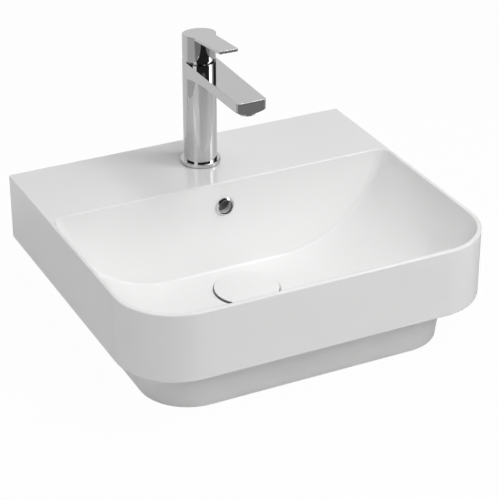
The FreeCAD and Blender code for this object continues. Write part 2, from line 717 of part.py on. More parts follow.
def make_plug():
    """Push-open plug: a ceramic cover on a sprung stem that slides in a guide inside the waste."""
    at = {"y": "drain_y"}
    plate_low = f"({COVER_LOW} + plug_seal_thickness + seat_gap)"
    plate_top = f"({plate_low} + plug_plate_thickness)"
    sleeve_top = f"({GUIDE_LOW} + guide_sleeve)"
    hub_low = f"({plate_low} - plug_hub_height)"
    ring_top = f"({GUIDE_LOW} + guide_height)"
    guide = turned("plug_guide_ring", (
        ("waste_bore - guide_rim", GUIDE_LOW), ("waste_bore - fit_gap", GUIDE_LOW),
        ("waste_bore - fit_gap", ring_top), ("waste_bore - guide_rim", ring_top)), **at)
    sleeve = rod("plug_guide_sleeve", "guide_sleeve_radius", "guide_sleeve", z=GUIDE_LOW, **at)
    arms = []
    for i in range(GUIDE_ARMS):
        arm = doc.addObject("Part::Box", f"plug_guide_arm_{i}")
        bind(arm, "Length", "waste_bore - guide_rim / 2")
        bind(arm, "Width", "guide_rim")
        bind(arm, "Height", "guide_height")
        turn = Rotation(Vector(0, 0, 1), 360 / GUIDE_ARMS * (i + 0.25))
        arm.Placement = Placement(Vector(), turn)
        side = turn.multVec(Vector(0, -0.5, 0))
        place(arm, f"{side.x} * guide_rim", f"drain_y + {side.y} * guide_rim", GUIDE_LOW)
        arms.append(arm)
    bore = rod("plug_guide_bore", "stem_radius + fit_gap", "2 * guide_sleeve",
               z=f"{GUIDE_LOW} - guide_sleeve / 2", **at)
    cut("plug_guide", fuse("plug_guide_blank", [guide, sleeve, *arms]), [bore])

    turned("plug_stem", (
        ("0", f"{GUIDE_LOW} - stem_collar_height - seat_gap"),
        ("stem_collar_radius", f"{GUIDE_LOW} - stem_collar_height - seat_gap"),
        ("stem_collar_radius", f"{GUIDE_LOW} - seat_gap"), ("stem_radius", f"{GUIDE_LOW} - seat_gap"),
        ("stem_radius", plate_top), ("0", plate_top)), **at)
    turned("plug_carrier", (
        ("stem_radius + fit_gap", hub_low), ("plug_hub_radius", hub_low), ("plug_hub_radius", plate_low),
        ("plug_plate_radius", plate_low), ("plug_plate_radius", plate_top),
        ("stem_radius + fit_gap", plate_top)), **at)
    seal_bore = "waste_bore + flange_chamfer + seat_gap"
    seal_low = f"{COVER_LOW} + seat_gap"
    turned("plug_seal", (
        (seal_bore, seal_low), ("plug_plate_radius", seal_low), ("plug_plate_radius", plate_low),
        (seal_bore, plate_low)), **at)
    edge_top = f"({COVER_LOW} + cover_edge)"
    shoulder = "(cover_radius - cover_upper_round)"
    dome = f"({shoulder}^2 + cover_crown^2) / (2 * cover_crown)"
    turned("plug_cover", (
        ("plug_plate_radius + seat_gap", COVER_LOW), ("cover_radius - cover_lower_round", COVER_LOW),
        ("cover_radius", f"{COVER_LOW} + cover_lower_round"),
        ("cover_radius", f"{edge_top} - cover_upper_round"),
        (shoulder, edge_top), ("0", f"{edge_top} + cover_crown"), ("0", f"{plate_top} + fit_gap"),
        ("plug_plate_radius + seat_gap", f"{plate_top} + fit_gap")),
        arcs={1: "cover_lower_round", 3: "cover_upper_round", 4: dome}, **at)

    spring = doc.addObject("Part::Feature", "plug_spring")
    wire = value("spring_wire")
    spring.Shape = helix_tube(value("spring_radius"), wire, value(f"{sleeve_top} + seat_gap") + wire,
                              value(f"{hub_low} - seat_gap") - wire, value("spring_turns"))
    place(spring, **at)


# Heights of the tap, from the deck up
DECK = "basin_height"
UNDER_DECK = "(basin_height - ceramic_wall)"
RING_LOW = f"({DECK} + base_seal_height)"
BODY_LOW = f"({RING_LOW} + base_ring_height)"
BODY_TOP = f"({DECK} + body_height)"
CHAMBER = f"({BODY_TOP} - chamber_depth)"
HOUSING_LOW = f"({CHAMBER} + port_seal_height)"
SHOULDER = f"({BODY_TOP} - cartridge_nut_height)"
DISC_LOW = f"({HOUSING_LOW} + housing_floor)"
DISC_MID = f"({DISC_LOW} + fixed_disc_height)"
DISC_TOP = f"({DISC_MID} + moving_disc_height)"
PIVOT = f"({BODY_TOP} - pivot_drop)"
BALL = f"({PIVOT} - ball_drop)"
CARRIER_LOW = f"({BALL} - carrier_sink)"
CARRIER_TOP = f"({SHOULDER} - housing_roof - fit_gap)"
NECK_TOP = f"({BODY_TOP} + neck_height)"
LEVER_LOW = f"({BODY_TOP} + lever_gap)"
LEVER_BACK = f"({DECK} + lever_back_height)"
LEVER_ROOF = f"({LEVER_BACK} - lever_roof)"
OUTLET_Y = f"({TAP_Y} - spout_reach + outlet_setback)"
SPOUT_TIP_LOW = f"({BODY_TOP} - spout_tip_height - spout_sag)"
STUD_Y = f"({TAP_Y} + stud_offset)"


def cross_section(name, points, width, shift="0"):
    """A block with an outline of (y, z) points, as wide as given and centred on the YZ plane."""
    body = new_body(name)
    sketch = new_sketch(body, f"{name}_outline", "YZ_Plane", shift)
    polygon(sketch, points)
    pad(body, sketch, width, f"{name}_block", midplane=True)
    return body


def ports(name, low, length):
    """The two inlet passages and the outlet passage that line up through the cartridge's base."""
    spots = (("-port_spread", "-port_forward"), ("port_spread", "-port_forward"), ("0", "port_back"))
    return [rod(f"{name}_port_{i}", "port_radius", length, x=x, y=f"{TAP_Y} + ({y})", z=low)
            for i, (x, y) in enumerate(spots)]


def spout_solid():
    """The spout: a flat top that narrows forwards over a belly that thins quickly from the column."""
    body = new_body("tap_spout")
    sections = []
    for i, (forward, height) in enumerate((
        ("0", "spout_root_height"),
        ("spout_neck_length", "spout_neck_height"),
        ("spout_middle_length", "spout_middle_height"),
        ("spout_reach", "spout_tip_height"),
    )):
        half = f"(spout_width - (spout_width - spout_tip_width) * {forward} / spout_reach) / 2"
        side_low = f"{BODY_TOP} - {height}"
        sketch = new_sketch(body, f"tap_spout_section_{i}", "XZ_Plane", f"{forward} - {TAP_Y}")
        polygon(sketch, ((f"-{half}", side_low), (half, side_low), (half, BODY_TOP), (f"-{half}", BODY_TOP)),
                arcs={0: f"(({half})^2 + spout_sag^2) / (2 * spout_sag)"})
        sections.append(sketch)
    loft(body, sections, "tap_spout_belly")
    return body


def make_tap_body():
    """Tap body and spout in one casting, its base ring and the seal on the deck."""
    at = {"y": TAP_Y}
    turned("base_seal", (
        ("shank_radius + seat_gap", DECK), ("base_ring_radius - base_ring_round", DECK),
        ("base_ring_radius - base_ring_round", RING_LOW), ("shank_radius + seat_gap", RING_LOW)), **at)
    turned("base_ring", (
        ("shank_radius + fit_gap", RING_LOW), ("base_ring_radius", RING_LOW),
        ("base_ring_radius", f"{BODY_LOW} - base_ring_round"),
        ("base_ring_radius - base_ring_round", BODY_LOW), ("shank_radius + fit_gap", BODY_LOW)),
        arcs={2: "base_ring_round"}, **at)
    column = rod("tap_column", "body_radius", f"{BODY_TOP} - {BODY_LOW}", z=BODY_LOW, **at)
    shank = rod("tap_shank", "shank_radius", f"{BODY_LOW} - {UNDER_DECK}", z=UNDER_DECK, **at)
    spout = spout_solid()
    soft_tip = rounded("tap_spout_tip", spout, "spout_corner", upright_at(value(f"{TAP_Y} - spout_reach")))
    ahead = level_ahead_of(value(TAP_Y))
    soft_spout = rounded("tap_spout_soft", soft_tip, "tap_edge", lambda e: (
        near(e.BoundBox.ZMin, value(BODY_TOP)) and ahead(e)))
    blank = fuse("tap_blank", [column, shank, soft_spout])
    chamber = rod("cartridge_chamber", "cartridge_radius + fit_gap", f"chamber_depth + {OVERCUT}",
                  z=CHAMBER, **at)
    thread = rod("cartridge_thread", "nut_radius + fit_gap", f"cartridge_nut_height + {OVERCUT}",
                 z=SHOULDER, **at)
    pocket = rod("aerator_pocket", "aerator_radius + fit_gap", "spout_root_height - pocket_roof",
                 y=OUTLET_Y, z=f"{BODY_TOP} - spout_root_height")

    # Water ways: two inlets, the outlet's slot and groove up to the chamber's waist, and the spout's duct
    duct = rod("spout_duct", "spout_duct_radius", f"{TAP_Y} - {OUTLET_Y}", y=TAP_Y,
               z=f"{BODY_TOP} - spout_duct_drop")
    duct.Placement = Placement(duct.Placement.Base, Rotation(Vector(1, 0, 0), 90))
    rise = "(spout_root_height - spout_tip_height) / spout_reach"
    bind(duct, "Placement.Rotation.Angle", f"90 deg - atan({rise})")
    inlets = []
    for i, side in enumerate((-1, 1)):
        spot = {"x": f"{side} * port_spread", "y": f"{TAP_Y} - port_forward", "z": UNDER_DECK}
        inlets.append(rod(f"tap_inlet_{i}", "inlet_radius", "inlet_depth", **spot))
        inlets.append(rod(f"tap_feed_{i}", "port_radius", f"{CHAMBER} - {UNDER_DECK} + {OVERCUT}", **spot))
    slot_width = ("-port_radius", "port_radius")
    groove_back = f"{TAP_Y} + cartridge_radius + outlet_groove"
    slot = box("outlet_slot", slot_width, (f"{TAP_Y} + port_back - port_radius", groove_back),
               (f"{CHAMBER} - outlet_slot_depth", f"{CHAMBER} + {OVERCUT}"))
    groove = box("outlet_groove", slot_width, (f"{TAP_Y} + port_back", groove_back),
                 (f"{CHAMBER} - outlet_slot_depth", DISC_MID))
    stud_hole = rod("stud_hole", "stud_radius + fit_gap", "stud_grip", y=STUD_Y, z=UNDER_DECK)
    cut("tap_body", blank, [chamber, thread, pocket, duct, slot, groove, stud_hole, *inlets])


def make_cartridge():
    """Ceramic-disc cartridge: housing, discs, turning carrier, tilting spindle and its pin."""
    at = {"y": TAP_Y}
    gasket = rod("port_gasket", "cartridge_radius - housing_wall", "port_seal_height", z=CHAMBER, **at)
    cut("cartridge_seals", gasket, ports("gasket", CHAMBER, "port_seal_height"))
    waist = "cartridge_radius - housing_waist"
    shell = turned("housing_shell", (
        ("0", HOUSING_LOW), ("cartridge_radius", HOUSING_LOW), ("cartridge_radius", DISC_LOW),
        (waist, DISC_LOW), (waist, f"{SHOULDER} - housing_collar"),
        ("cartridge_radius", f"{SHOULDER} - housing_collar"), ("cartridge_radius", SHOULDER),
        ("neck_radius", SHOULDER), ("neck_radius", NECK_TOP), ("neck_radius - neck_wall", NECK_TOP),
        ("neck_radius - neck_wall", f"{SHOULDER} - housing_roof"),
        ("cartridge_radius - housing_wall", f"{SHOULDER} - housing_roof"),
        ("cartridge_radius - housing_wall", DISC_LOW), ("0", DISC_LOW)), **at)
    cut("cartridge_housing", shell, ports("housing", HOUSING_LOW, "housing_floor"))
    inside = "cartridge_radius - housing_wall - fit_gap"
    lower = rod("fixed_disc_blank", inside, "fixed_disc_height", z=DISC_LOW, **at)
    cut("fixed_disc", lower, ports("fixed_disc", DISC_LOW, "fixed_disc_height"))
    upper = rod("moving_disc_blank", "moving_disc_radius", "moving_disc_height - fit_gap",
                y=f"{TAP_Y} + disc_shift", z=f"{DISC_MID} + fit_gap")
    hub = rod("moving_disc_hub", "disc_hub_radius", f"{CARRIER_LOW} - {DISC_TOP} - seat_gap",
              z=DISC_TOP, **at)
    socket = rod("moving_disc_socket", "ball_radius + seat_gap",
                 f"{CARRIER_LOW} - {BALL} + 2 * ball_radius", z=f"{BALL} - ball_radius - seat_gap", **at)
    mix_span = (DISC_MID, f"{DISC_MID} + mix_depth")
    mixing = box("mixing_pocket", ("-mix_width / 2", "mix_width / 2"),
                 (f"{TAP_Y} + mix_front", f"{TAP_Y} + mix_front + mix_length"), mix_span)
    outflow = rod("mixing_outflow", "port_radius + mix_front", "mix_depth",
                  y=f"{TAP_Y} + port_back", z=DISC_MID)
    cut("moving_disc", fuse("moving_disc_body", [upper, hub]), [socket, mixing, outflow])

    drum = turned("carrier_drum", (
        ("0", CARRIER_LOW), (inside, CARRIER_LOW), (inside, CARRIER_TOP),
        ("neck_radius - neck_wall - fit_gap", CARRIER_TOP),
        ("neck_radius - neck_wall - fit_gap", f"{NECK_TOP} - neck_wall"),
        ("0", f"{NECK_TOP} - neck_wall")), **at)
    cheeks = []
    cheek_in = "disc_hub_radius + seat_gap"
    cheek_out = f"{cheek_in} + cheek_width"
    for i, span in enumerate(((cheek_in, cheek_out), (f"-({cheek_out})", f"-({cheek_in})"))):
        cheeks.append(box(f"carrier_cheek_{i}", span,
                          (f"{TAP_Y} - cheek_length / 2", f"{TAP_Y} + cheek_length / 2"),
                          (f"{DISC_TOP} + seat_gap", CARRIER_LOW)))
    slot_width = ("-spindle_width / 2 - fit_gap", "spindle_width / 2 + fit_gap")
    low_slot = box("carrier_low_slot", slot_width, (f"{TAP_Y} - slot_front", f"{TAP_Y} + slot_back"),
                   (CARRIER_LOW, CARRIER_TOP))
    top_slot = box("carrier_top_slot", slot_width, (f"{TAP_Y} - slot_back", f"{TAP_Y} + slot_back"),
                   (CARRIER_LOW, NECK_TOP))
    hole = rod("carrier_pin_hole", "pin_radius + fit_gap", "2 * neck_radius",
               x="-neck_radius", z=PIVOT, along="x", **at)
    cut("turn_carrier", fuse("carrier_blank", [drum, *cheeks]), [low_slot, top_slot, hole])

    rod("spindle_pin", "pin_radius", "2 * (neck_radius - neck_wall - seat_gap)",
        x="-(neck_radius - neck_wall - seat_gap)", z=PIVOT, along="x", **at)
    bar = box("spindle_bar", ("-spindle_width / 2", "spindle_width / 2"),
              (f"{TAP_Y} - spindle_width / 2", f"{TAP_Y} + spindle_width / 2"),
              (f"{PIVOT} - spindle_width / 2", f"{LEVER_ROOF} - seat_gap"))
    shaft = rod("spindle_waist", "spindle_waist_radius", f"{PIVOT} - {BALL}", z=BALL, **at)
    ball = doc.addObject("Part::Sphere", "spindle_ball")
    bind(ball, "Radius", "ball_radius")
    place(ball, y=TAP_Y, z=BALL)
    eye = rod("spindle_eye", "pin_radius + fit_gap", "2 * spindle_width",
              x="-spindle_width", z=PIVOT, along="x", **at)
    cut("lever_spindle", fuse("spindle_blank", [bar, shaft, ball]), [eye])

    turned("cartridge_nut", (
        ("neck_radius + fit_gap", SHOULDER), ("nut_radius", SHOULDER), ("nut_radius", BODY_TOP),
        ("neck_radius + fit_gap", BODY_TOP)), **at)
    turned("trim_ring", (
        ("neck_radius + fit_gap", BODY_TOP), ("trim_radius", BODY_TOP),
        ("trim_radius", f"{BODY_TOP} + trim_edge"), ("neck_radius + fit_gap", f"{BODY_TOP} + trim_height")),
        arcs={2: "trim_round"}, **at)


def make_lever():
    """Lever handle: a round skirt relieved at the back, a thin plate forwards and a socket inside."""
    at = {"y": TAP_Y}
    slope = "tan(lever_slope * 1 deg)"
    relief = "tan(lever_relief * 1 deg)"
    behind = f"{TAP_Y} + lever_radius"
    ahead = f"{TAP_Y} - lever_radius"
    tip = f"{TAP_Y} - lever_reach"
    tip_top = f"{LEVER_BACK} + (lever_radius + lever_reach) * {slope}"
    skirt_round = rod("lever_skirt_round", "lever_radius", "2 * lever_back_height", z=BODY_TOP, **at)
    skirt_side = cross_section("lever_skirt_side", (
        (ahead, LEVER_LOW), (TAP_Y, LEVER_LOW), (behind, f"{LEVER_LOW} + lever_radius * {relief}"),
        (behind, LEVER_BACK), (ahead, f"{LEVER_BACK} + 2 * lever_radius * {slope}")), "3 * lever_radius")
    skirt = common("lever_skirt", skirt_round, skirt_side)
    skirt_middle = value(f"({LEVER_LOW} + {LEVER_BACK}) / 2")
    soft_skirt = rounded("lever_skirt_soft", skirt, "tap_edge", lambda e: (
        e.BoundBox.ZMin > skirt_middle and e.BoundBox.XLength > value("lever_radius") / 2))
    plate_side = cross_section("lever_plate_side", (
        (TAP_Y, f"{LEVER_BACK} + lever_radius * {slope} - lever_plate"), (tip, f"{tip_top} - lever_plate"),
        (tip, tip_top), (TAP_Y, f"{LEVER_BACK} + lever_radius * {slope}")), "3 * lever_radius")
    plan = new_body("lever_plate_plan")
    outline = new_sketch(plan, "lever_plate_outline", "XY_Plane", BODY_TOP)
    polygon(outline, (("-lever_root_width / 2", TAP_Y), ("lever_root_width / 2", TAP_Y),
                      ("lever_tip_width / 2", tip), ("-lever_tip_width / 2", tip)))
    pad(plan, outline, "2 * lever_back_height", "lever_plate_prism")
    soft_plan = rounded("lever_plate_corners", plan, "lever_tip_corner", upright_at(value(tip)))
    plate = common("lever_plate", soft_plan, plate_side)
    soft_plate = rounded("lever_plate_edges", plate, "tap_edge", level_ahead_of(value(TAP_Y)))
    blank = fuse("lever_blank", [soft_skirt, soft_plate])
    inner = "lever_radius - lever_wall"
    cavity = turned("lever_cavity", (
        ("0", BODY_TOP), (inner, BODY_TOP), (inner, LEVER_ROOF), ("lever_boss_radius", LEVER_ROOF),
        ("lever_boss_radius", f"{LEVER_LOW} + lever_boss_lift"),
        ("0", f"{LEVER_LOW} + lever_boss_lift")), **at)
    socket = box("lever_socket", ("-spindle_width / 2 - fit_gap", "spindle_width / 2 + fit_gap"),
                 (f"{TAP_Y} - spindle_width / 2 - fit_gap", f"{TAP_Y} + spindle_width / 2 + fit_gap"),
                 (BODY_TOP, LEVER_ROOF))
    screw_z = f"{LEVER_ROOF} - lever_screw_drop"
    plug_y = f"{behind} - lever_plug_sink - lever_plug_length"
    tapped = rod("lever_tapped_hole", "lever_screw_radius + fit_gap", "lever_radius",
                 y=TAP_Y, z=screw_z, along="y")
    access = rod("lever_access_hole", "lever_plug_radius + fit_gap", "2 * lever_wall",
                 y=plug_y, z=screw_z, along="y")
    cut("lever_handle", blank, [cavity, socket, tapped, access])
    rod("lever_screw", "lever_screw_radius", "lever_boss_radius - spindle_width / 2 - fit_gap",
        y=f"{TAP_Y} + spindle_width / 2 + fit_gap", z=screw_z, along="y")
    rod("screw_plug", "lever_plug_radius", "lever_plug_length", y=plug_y, z=screw_z, along="y")


GRID_SLOTS = 2  # slots each side of the middle one


def make_outlet():
    """Aerator in the spout: threaded housing, flow insert with slots, and a flat washer."""
    at = {"y": OUTLET_Y}
    low = f"({SPOUT_TIP_LOW} - aerator_proud)"
    top = f"({low} + aerator_height)"
    turned("aerator_housing", (
        ("aerator_radius - aerator_wall", low), ("aerator_radius - aerator_wall / 3", low),
        ("aerator_radius", f"{low} + aerator_wall / 3"), ("aerator_radius", top),
        ("aerator_radius - aerator_wall", top)), **at)
    core = rod("aerator_core", "aerator_radius - aerator_wall - fit_gap", "aerator_height - aerator_wall",
               z=f"{low} + aerator_wall / 2", **at)
    slots = []
    slot_span = (low, f"{low} + grid_depth")
    reach = ("-grid_reach", "grid_reach")
    for i in range(-GRID_SLOTS, GRID_SLOTS + 1):
        thin = (f"{i} * grid_pitch - grid_slot / 2", f"{i} * grid_pitch + grid_slot / 2")
        for name, x, y in (("row", reach, thin), ("column", thin, reach)):
            y_span = tuple(f"{OUTLET_Y} + {end}" for end in y)
            slots.append(box(f"aerator_{name}_{i + GRID_SLOTS}", x, y_span, slot_span))
    cut("aerator_insert", core, slots)
    washer_top = f"{top} + aerator_washer_height"
    turned("aerator_washer", (
        ("washer_bore", top), ("aerator_radius", top), ("aerator_radius", washer_top),
        ("washer_bore", washer_top)), **at)


def make_fixing():
    """What clamps the tap to the deck from below: stud, horseshoe pad and plate, long nut."""
    pad_low = f"({UNDER_DECK} - clamp_pad_height)"
    plate_low = f"({pad_low} - clamp_plate_height)"
    nut_low = f"({plate_low} - clamp_nut_height)"
    rod("fixing_stud", "stud_radius", "stud_length", y=STUD_Y, z=f"{UNDER_DECK} + stud_grip - stud_length")
    for name, low, height in (
        ("fixing_pad", pad_low, "clamp_pad_height"),
        ("fixing_plate", plate_low, "clamp_plate_height"),
    ):
        disc = rod(f"{name}_disc", "clamp_radius", height, y=TAP_Y, z=low)
        mouth = box(f"{name}_mouth", ("-clamp_mouth / 2", "clamp_mouth / 2"),
                    (f"{TAP_Y} - 2 * clamp_radius", f"{STUD_Y} - stud_radius - clamp_bridge"),
                    (low, f"{low} + {height}"))
        hole = rod(f"{name}_hole", "stud_radius + fit_gap", height, y=STUD_Y, z=low)
        cut(name, disc, [mouth, hole])
    spanner = hexagon("fixing_nut_hexagon", "clamp_nut_corner", "clamp_nut_height", STUD_Y, nut_low)
    thread = rod("fixing_nut_thread", "stud_radius + fit_gap", "clamp_nut_height", y=STUD_Y, z=nut_low)
    cut("fixing_nut", spanner, [thread])


NODES = (
    "basin", "overflow_ring", "waste_flange_seal", "waste_body", "waste_base_seal", "waste_nut",
    "plug_guide", "plug_stem", "plug_carrier", "plug_seal", "plug_cover", "plug_spring",
    "base_seal", "base_ring", "tap_body", "cartridge_seals", "cartridge_housing", "fixed_disc",
    "moving_disc", "turn_carrier", "spindle_pin", "lever_spindle", "cartridge_nut", "trim_ring",
    "lever_handle", "lever_screw", "screw_plug", "aerator_housing", "aerator_insert", "aerator_washer",
    "fixing_stud", "fixing_pad", "fixing_plate", "fixing_nut",
)


def export():
    """Check every object of the document and write each piece to its own file."""
    doc.recompute()
    for item in doc.Objects:
        if "Invalid" in item.State or "Error" in item.State:
            raise RuntimeError(f"{item.Name} failed: {item.State}")
    os.makedirs("parts", exist_ok=True)
    for name in NODES:
        piece = doc.getObjectsByLabel(name)[0]
        if piece.Shape.isNull() or not piece.Shape.isValid():
            raise RuntimeError(f"{name} has no valid shape")
        span = piece.Shape.optimalBoundingBox()
        corners = [round(v, 2) for v in (span.XMin, span.YMin, span.ZMin, span.XMax, span.YMax, span.ZMax)]
        print(name, len(piece.Shape.Solids), round(piece.Shape.Volume), corners)
        piece.Shape.exportStep(f"parts/{name}.step")


make_basin()
make_overflow_ring()
make_waste()
make_plug()
make_tap_body()
make_cartridge()
make_lever()
make_outlet()
make_fixing()
export()
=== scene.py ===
"""Looks of the countertop basin: glazes, chrome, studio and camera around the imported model.

Metres, +Z up, +X to the right seen from the front, +Y towards the wall.
"""
import json
import math

import bpy
import numpy as np
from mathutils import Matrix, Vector


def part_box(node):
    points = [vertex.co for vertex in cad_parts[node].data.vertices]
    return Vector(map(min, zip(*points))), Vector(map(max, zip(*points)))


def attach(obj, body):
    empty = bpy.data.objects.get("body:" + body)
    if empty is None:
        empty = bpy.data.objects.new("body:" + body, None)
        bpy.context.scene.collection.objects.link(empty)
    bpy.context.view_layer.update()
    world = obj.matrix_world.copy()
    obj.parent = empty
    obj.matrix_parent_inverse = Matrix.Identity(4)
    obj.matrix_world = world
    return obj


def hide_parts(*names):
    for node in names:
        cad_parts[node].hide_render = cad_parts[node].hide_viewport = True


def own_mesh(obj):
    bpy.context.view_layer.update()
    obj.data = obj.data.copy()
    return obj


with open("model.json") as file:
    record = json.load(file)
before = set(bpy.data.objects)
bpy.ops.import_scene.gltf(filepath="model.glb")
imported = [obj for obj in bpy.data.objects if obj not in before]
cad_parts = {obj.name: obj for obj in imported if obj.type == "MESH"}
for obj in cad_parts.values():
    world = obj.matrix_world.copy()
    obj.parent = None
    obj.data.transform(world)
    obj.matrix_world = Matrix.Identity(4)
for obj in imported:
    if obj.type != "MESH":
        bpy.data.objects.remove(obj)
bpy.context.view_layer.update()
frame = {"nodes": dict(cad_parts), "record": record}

# Camera of the photograph, solved from the rim's outline
CAMERA_AT = Vector((-0.9416, -1.9099, 1.2427))
CAMERA_TARGET = Vector((-0.05435, -0.10917, 0.160))
CAMERA_LENS_MM = 132.44
SENSOR_MM = 36.0
VIEW_DEPTH = 50.0

# Square lamps as (name, place, aims at, side, watts, mirrored by polished pieces)
RIM, BOWL, FASCIA = (0.0, 0.0, 0.16), (0.0, 0.0, 0.14), (0.0, 0.0, 0.10)
LAMP_SIDE, SOFTBOX_SIDE = 0.7, 1.2
LAMPS = (
    ("key_high", (1.10, -0.65, 2.10), RIM, LAMP_SIDE, 13.2, True),
    ("key_low", (1.70, -1.00, 1.35), RIM, LAMP_SIDE, 5.2, True),
    ("overhead", (0.35, -0.15, 2.20), RIM, LAMP_SIDE, 3.7, True),
    ("front_softbox", (0.20, -1.70, 1.90), BOWL, SOFTBOX_SIDE, 27.0, False),
    ("left_softbox", (-1.90, -1.00, 1.20), BOWL, SOFTBOX_SIDE, 2.9, False),
    ("left_low_softbox", (-2.10, 0.30, 0.90), FASCIA, SOFTBOX_SIDE, 7.6, False),
    ("left_back_softbox", (-1.60, 1.20, 1.20), FASCIA, SOFTBOX_SIDE, 6.0, False),
    ("back_softbox", (0.0, 1.30, 2.00), BOWL, SOFTBOX_SIDE, 4.0, True),
)
WORLD_LIGHT = 0.01

# What metal and glaze mirror: a dark room with three lit windows, and a white roof where a direction
# rises by more than this share of its length
MIRRORED_WHITE, MIRRORED_DARK = 0.92, 0.03
ROOF_FROM, ROOF_TO = 0.77, 0.88
# Windows on the left, on the right and behind, as (from, to, brightness), in degrees from +X towards +Y
WINDOWS = ((-159.0, -134.0, 1.4), (-42.0, -6.0, MIRRORED_WHITE), (45.0, 140.0, MIRRORED_WHITE))
WINDOW_EDGE_DEG = 3.0

# Counter, which the camera sees as nearly plain white so that a soft shadow stays
COUNTER_LEVEL, COUNTER_REACH = -0.0005, 6.0
COUNTER_ROUGHNESS = 0.9
COUNTER_WHITE_SHARE = 0.97
# Painted reflection of the counter, a glow that only polished pieces see: dim in front of the basin,
# brighter beside it and brightest behind it
FRONT_EDGE_FROM, FRONT_EDGE_TO = -0.42, -0.30
BACK_EDGE_FROM, BACK_EDGE_TO = 0.35, 0.50
PAINTED_REFLECTION_FRONT, PAINTED_REFLECTION_SIDES, PAINTED_REFLECTION_BACK = 0.21, 0.46, 0.68

# Linear colours
PLAIN_WHITE = (1.0, 1.0, 1.0, 1.0)
COUNTER_PALE = (0.77, 0.77, 0.77, 1.0)
GLAZE_WHITE = (0.93, 0.93, 0.927, 1.0)
CHROME_GREY = (0.66, 0.66, 0.665, 1.0)
RUBBER_BLACK = (0.018, 0.018, 0.019, 1.0)
BRASS_YELLOW = (0.55, 0.37, 0.13, 1.0)
STEEL_GREY = (0.42, 0.42, 0.42, 1.0)
DISC_CREAM = (0.68, 0.63, 0.54, 1.0)
PLASTIC_GREY = (0.17, 0.175, 0.18, 1.0)
PLUG_GREY = (0.26, 0.265, 0.27, 1.0)

# Finishes: drift of the colour as a share of itself, height of the relief, and scale of the noise
GLAZE_DRIFT, GLAZE_DRIFT_SCALE = 0.008, 9.0
GLAZE_ROUGHNESS, GLAZE_ROUGHNESS_SCALE = (0.05, 0.09), 30.0
GLAZE_WAVE, GLAZE_WAVE_SCALE = 0.00012, 14.0
GLAZE_IOR = 1.52
METAL_DRIFT, METAL_RELIEF = 0.02, 0.000004
MOULDED_DRIFT, MOULDED_RELIEF = 0.06, 0.00002
GRAIN_DETAIL, WAVE_DETAIL = 3.0, 1.0
# Grain by axis: even, in rings as turning leaves it, or in upright lines as drawing leaves it
EVEN, TURNED, DRAWN = (1.0, 1.0, 1.0), (1.0, 1.0, 6.0), (6.0, 6.0, 1.0)

# Plug: a cap with a thin undercut edge, over a spring
PLUG_AXIS = (0.0, 0.008)
CAP_RADIUS, CAP_FLAT_RADIUS = 0.0438, 0.0350
CAP_EDGE_LOW, CAP_EDGE_TOP = 0.0333, 0.0342
CAP_EDGE_ROUND, CAP_CROWN = 0.0003, 0.0020
CAP_SEAT_GAP, CAP_SIDE_GAP, CAP_CEILING_GAP = 0.0001, 0.0003, 0.00005
SPRING_RADIUS, SPRING_TURNS = 0.0054, 5
WIRE_RADIUS = 0.0006
# Overflow trim ring: a cone that stands proud of the bowl's wall, with a short collar in the hole
RING_LIP = 0.0016
BEZEL_MOUTH_RADIUS, BEZEL_HEIGHT = 0.0102, 0.0031
BEZEL_ROUND, BEZEL_FOOT = 0.0004, 0.0005
COLLAR_RADIUS, COLLAR_LENGTH = 0.0108, 0.0012
# Fineness of these pieces
CAP_COLUMNS, CAP_DOME_ROWS = 192, 24
STATIONS_PER_TURN, WIRE_SIDES = 48, 20
BEZEL_COLUMNS = 96
ROUND_ROWS = 6
SHARP_EDGE_DEG = 35.0


def new_material(name):
    """An empty node material, its tree and its main shader."""
    material = bpy.data.materials.new(name)
    material.use_nodes = True
    shader = material.node_tree.nodes["Principled BSDF"]
    return material, material.node_tree, shader


def object_noise(tree, scale, detail=GRAIN_DETAIL, stretch=EVEN):
    """Noise on the piece's own coordinates, finer along an axis whose stretch is larger."""
    where = tree.nodes.new("ShaderNodeTexCoord")
    mapping = tree.nodes.new("ShaderNodeMapping")
    mapping.inputs["Scale"].default_value = stretch
    noise = tree.nodes.new("ShaderNodeTexNoise")
    noise.inputs["Scale"].default_value = scale
    noise.inputs["Detail"].default_value = detail
    tree.links.new(where.outputs["Object"], mapping.inputs["Vector"])
    tree.links.new(mapping.outputs["Vector"], noise.inputs["Vector"])
    return noise.outputs["Fac"]


def spread(tree, source, low, high):
    """A value from nought to one, spread between two limits."""
    ranged = tree.nodes.new("ShaderNodeMapRange")
    ranged.inputs["To Min"].default_value = low
    ranged.inputs["To Max"].default_value = high
    tree.links.new(source, ranged.inputs["Value"])
    return ranged.outputs["Result"]


def vary_colour(tree, shader, source, colour, share):
    """Base colour that wanders by a share of itself about the given colour."""
    mix = tree.nodes.new("ShaderNodeMix")
    mix.data_type = "RGBA"
    mix.inputs["A"].default_value = tuple(c * (1 - share) for c in colour[:3]) + (1.0,)
    mix.inputs["B"].default_value = tuple(min(1.0, c * (1 + share)) for c in colour[:3]) + (1.0,)
    tree.links.new(source, mix.inputs["Factor"])
    tree.links.new(mix.outputs["Result"], shader.inputs["Base Color"])


def bump(tree, shader, source, height):
    """Relief of a real height from a noise value."""
    relief = tree.nodes.new("ShaderNodeBump")
    relief.inputs["Strength"].default_value = 1.0
    relief.inputs["Distance"].default_value = height
    tree.links.new(source, relief.inputs["Height"])
    tree.links.new(relief.outputs["Normal"], shader.inputs["Normal"])


